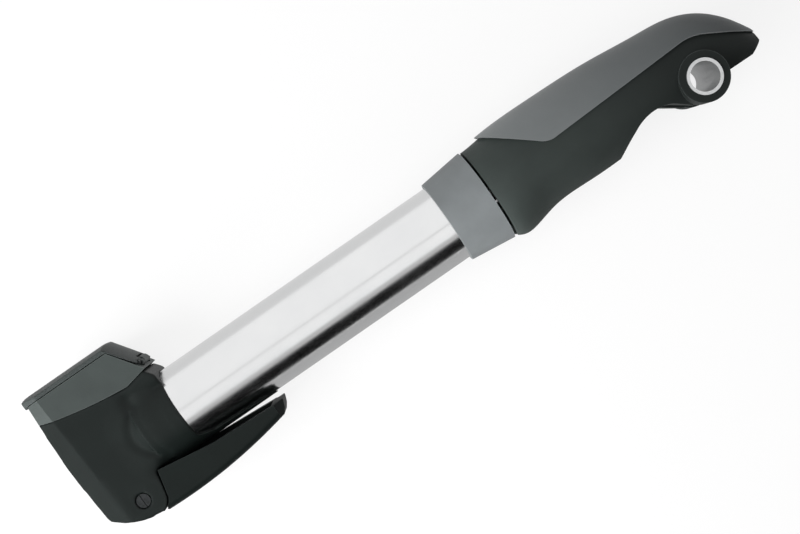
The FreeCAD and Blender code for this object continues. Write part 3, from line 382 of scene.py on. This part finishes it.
# the flat sides end where the sleeve's round begins, and flow into it without an edge
side = max(abs(v.co.z) for v in fine.verts if v.co.x < head_back)
for v in fine.verts:
    rise = min(max((v.co.x - flare_start) / flare_length, 0.0), 1.0) ** 1.4
    most = side + sleeve_proud * rise
    if v.co.x < socket_end and abs(v.co.z) > most:
        v.co.z = math.copysign(most, v.co.z)
    # the tongue under the barrel narrows past the sleeve's mouth
    if v.co.x > sleeve_mouth and v.co.y < 0:
        narrow = 1 - tongue_cut * min((v.co.x - sleeve_mouth) / tongue_taper, 1.0)
        radius = round_barrel(v.co)
        angle = narrow * math.atan2(v.co.z, -v.co.y)
        v.co.y, v.co.z = -radius * math.cos(angle), radius * math.sin(angle)

# sizes in millimetres from here on: each pass reaches less far, and smooths more
for back, front, low, high, times in (
    (-80, -50.5, -14.5, 13.0, 10),
    (-77, -51.5, -13.0, 12.0, 25),
    (-76, -52.5, -12.5, 11.5, 140),
):
    ease(
        fine,
        lambda at, way: back < at.x < front
        and low < at.y < high
        and at.z * way.z > 0
        and abs(at.z) > 8.6
        and (round_barrel(at) > 13.0 or at.x < -61.4),
        times,
    )

# a shallow hollow runs down between the flat side and the sleeve, clear of the barrel's socket
hollow_deep, hollow_wide = 0.0011, 0.0021
hollow_end, hollow_fade = 0.0125, 0.0008
fine.normal_update()
for v in fine.verts:
    if v.co.z * v.normal.z <= 0 or abs(v.co.z) < 0.006 or not -0.071 < v.co.x < -0.0514:
        continue
    bottom = -0.0645 + 0.0045 * min(abs(v.co.y) / 0.008, 1.0) ** 2
    across = math.exp(-(((v.co.x - bottom) / hollow_wide) ** 2))
    down = 1 / (1 + math.exp((v.co.y - hollow_end) / hollow_fade))
    down /= 1 + math.exp((-hollow_end - v.co.y) / hollow_fade)
    deep = abs(v.co.z) - hollow_deep * across * down
    if v.co.x > socket_end - 0.0009 and abs(v.co.y) < socket:
        deep = max(deep, math.sqrt(socket**2 - v.co.y**2))
    v.co.z = math.copysign(deep, v.co.z)

# the neck under the cap's hinge, and the hollow above the lever, are rounded off
ease(
    fine,
    lambda at, way: at.x > -63 and round_barrel(at) > 12.95 and (at.y > 7 or -14.5 < at.y < -7)
    and not (abs(at.z) < 8 and at.y > 12.4 and at.x < -52 and way.y > 0.5),
    8,
)
# the chin's corners are soft, outside the recess of the lever's pin
ease(
    fine,
    lambda at, way: at.y < -4
    and at.x < -70
    and abs(at.z) > 6
    and math.hypot(at.x + 73.1, at.y + 16.2) > 3.6,
    18,
)
finished(housing, fine, black, "pump_body", "head_body")
grey = moulding("dark_grey_plastic", (0.041, 0.049, 0.047), (0.085, 0.095, 0.094), 0.5, gloss=0.25)
give(grey, "port_cap")

# --- lever: black nylon on a blackened steel pin, and the brass pin inside the port ---
# It clamps the valve: its eccentric hub lifts the plunger under the seal. Its pin is turned,
# with a round head in a recess in the side of the head. The brass pin opens a car valve.
lever = moulding("lever_plastic", (0.0046, 0.0068, 0.0062), (0.016, 0.02, 0.019), 0.46, gloss=0.17)
give(lever, "clamp_lever")


def turned_metal(name, colour, worn, polish, rings=3000):
    """Metal with the fine rings of a lathe round Z, and wear on its edges."""
    finish, tree, shader = blank_finish(name, polish, metallic=1.0)
    lines = speckle(tree, (rings, rings, 40), detail=2.0)
    patches = speckle(tree, (700, 700, 700), detail=4.0)
    toned = tint(tree, spread_over(tree, patches, 0, 0.5), colour, worn)
    tree.links.new(
        tint(tree, worn_edges(tree, 0.0002), toned, worn), shader.inputs["Base Color"]
    )
    tree.links.new(
        spread_over(tree, patches, polish * 0.8, polish * 1.4), shader.inputs["Roughness"]
    )
    relief(tree, shader, lines, 0.000004, 0.4)
    return finish


pin_steel = turned_metal("pin_steel", (0.03, 0.033, 0.033), (0.11, 0.115, 0.12), 0.42)
give(pin_steel, "lever_pin", "lid_pin")
give(turned_metal("brass", (0.72, 0.53, 0.24), (0.85, 0.68, 0.36), 0.28), "valve_depressor")

# --- dust lid: a snap-on grey cover hinged on a steel pin ---
# It closes the port against dirt. It is moulded in the cap's plastic, with softer edges, and
# goes paler along them where thumbs open it.
lid_grey = moulding("lid_plastic", (0.039, 0.046, 0.045), (0.1, 0.108, 0.11), 0.48, gloss=0.2)
cover, fine = softened("dust_lid", "lid_cover", 0.00025)
ease(fine, lambda at, way: at.y > 19.5, 3)
finished(cover, fine, lid_grey, "lid", "dust_lid")


# --- seals: the valve's grommet, gaskets, flaps, ring and cup ---
# Moulded rubber, greased where it slides, with the grey bloom that rubber gets.
def rubber(name, colour, bloom):
    """Rubber with a dull bloom in patches."""
    finish, tree, shader = blank_finish(name, 0.7)
    shader.inputs["Specular IOR Level"].default_value = 0.3
    patches = speckle(tree, (260, 260, 260), detail=5.0)
    tree.links.new(
        tint(tree, spread_over(tree, patches, 0, 1, 0.45, 0.75), colour, bloom),
        shader.inputs["Base Color"],
    )
    tree.links.new(spread_over(tree, patches, 0.6, 0.85), shader.inputs["Roughness"])
    relief(tree, shader, speckle(tree, (1800, 1800, 1800)), 0.00002, 0.5)
    return finish


give(
    rubber("rubber", (0.013, 0.013, 0.013), (0.035, 0.035, 0.034)),
    "valve_seal",
    "barrel_gasket",
    "check_valve_flap",
    "tube_valve_flap",
    "tube_ring",
    "piston_cup",
    "rod_bumper",
)


# --- bearings and pistons: white acetal ---
# Turned and moulded acetal bushes that the tubes and the rod run in, and the washers beside
# the rod's eye. They are slightly translucent and mark grey where they rub.
def acetal(name):
    """Waxy white plastic with grey marks."""
    finish, tree, shader = blank_finish(name, 0.38)
    shader.inputs["Subsurface Weight"].default_value = 0.15
    shader.inputs["Subsurface Radius"].default_value = (0.001, 0.001, 0.0009)
    marks = speckle(tree, (90, 700, 700), detail=4.0)
    marked = spread_over(tree, marks, 0, 1, 0.5, 0.8)
    tree.links.new(
        tint(tree, marked, (0.74, 0.74, 0.71), (0.52, 0.52, 0.5)), shader.inputs["Base Color"]
    )
    tree.links.new(spread_over(tree, marks, 0.32, 0.48), shader.inputs["Roughness"])
    relief(tree, shader, marks, 0.000008, 0.4)
    return finish


give(
    acetal("white_plastic"),
    "barrel_bush",
    "tube_piston",
    "tube_cap",
    "piston",
    "check_valve_seat",
    "eye_washers",
)

# --- rod: plated steel with a cast eye pressed on its end ---
# The rod is ground and plated, and a turned steel screw holds its piston. The eye is a tumbled
# zinc casting, duller and a little uneven.
give(turned_metal("steel", (0.6, 0.6, 0.61), (0.75, 0.75, 0.77), 0.22), "piston_screw")
give(tube_finish("plated_rod", (0.66, 0.66, 0.67), (0.56, 0.56, 0.58), 0.18), "piston_rod")
casting, tree, shader = blank_finish("cast_alloy", 0.45, metallic=1.0)
pits = speckle(tree, (900, 900, 900), detail=5.0)
dull = tint(tree, spread_over(tree, pits, 0, 1), (0.4, 0.4, 0.42), (0.52, 0.52, 0.54))
tree.links.new(
    tint(tree, worn_edges(tree, 0.0003), dull, (0.68, 0.68, 0.7)), shader.inputs["Base Color"]
)
tree.links.new(spread_over(tree, pits, 0.35, 0.55), shader.inputs["Roughness"])
relief(tree, shader, pits, 0.00003, 0.5)
give(casting, "rod_eye")

# --- handle: a black nylon shell with a soft grey skin over its palm side ---
# The skin is moulded onto the shell and feels rubbery, so it is matt and picks up dust. Both are
# painted darker towards the far end, as shade where the light falls off along the handle. The
# hollow axle is bright steel tube, flared at both ends.
nylon = moulding(
    "handle_plastic",
    (0.044, 0.053, 0.05),
    (0.06, 0.068, 0.066),
    0.52,
    gloss=0.12,
    # the far end is painted darker, as shade where the light falls off
    far=((0.012, 0.0145, 0.0138), 0.065, 0.128),
)
give(nylon, "handle_shell")
skin, tree, shader = blank_finish("soft_grip", 0.68)
shader.inputs["Specular IOR Level"].default_value = 0.3
shader.inputs["Sheen Weight"].default_value = 0.12
shader.inputs["Sheen Roughness"].default_value = 0.5
handled = speckle(tree, (70, 70, 70), detail=5.0)
pores = speckle(tree, (3200, 3200, 3200), detail=2.0)
matt = tint(tree, spread_over(tree, handled, 0, 1), (0.185, 0.2, 0.202), (0.21, 0.225, 0.228))
# painted shade: the skin darkens towards its far end, where the light falls off
matt = tint(tree, along_piece(tree, 0.05, 0.148), matt, (0.068, 0.074, 0.076))
tree.links.new(
    tint(tree, worn_edges(tree, 0.0005), matt, (0.17, 0.18, 0.185)), shader.inputs["Base Color"]
)
tree.links.new(spread_over(tree, pores, 0.6, 0.78), shader.inputs["Roughness"])
relief(tree, shader, pores, 0.00002, 0.7)
give(skin, "grip_overlay")
give(turned_metal("bright_axle", (0.55, 0.56, 0.56), (0.85, 0.85, 0.86), 0.4, 1500), "pivot_tube")
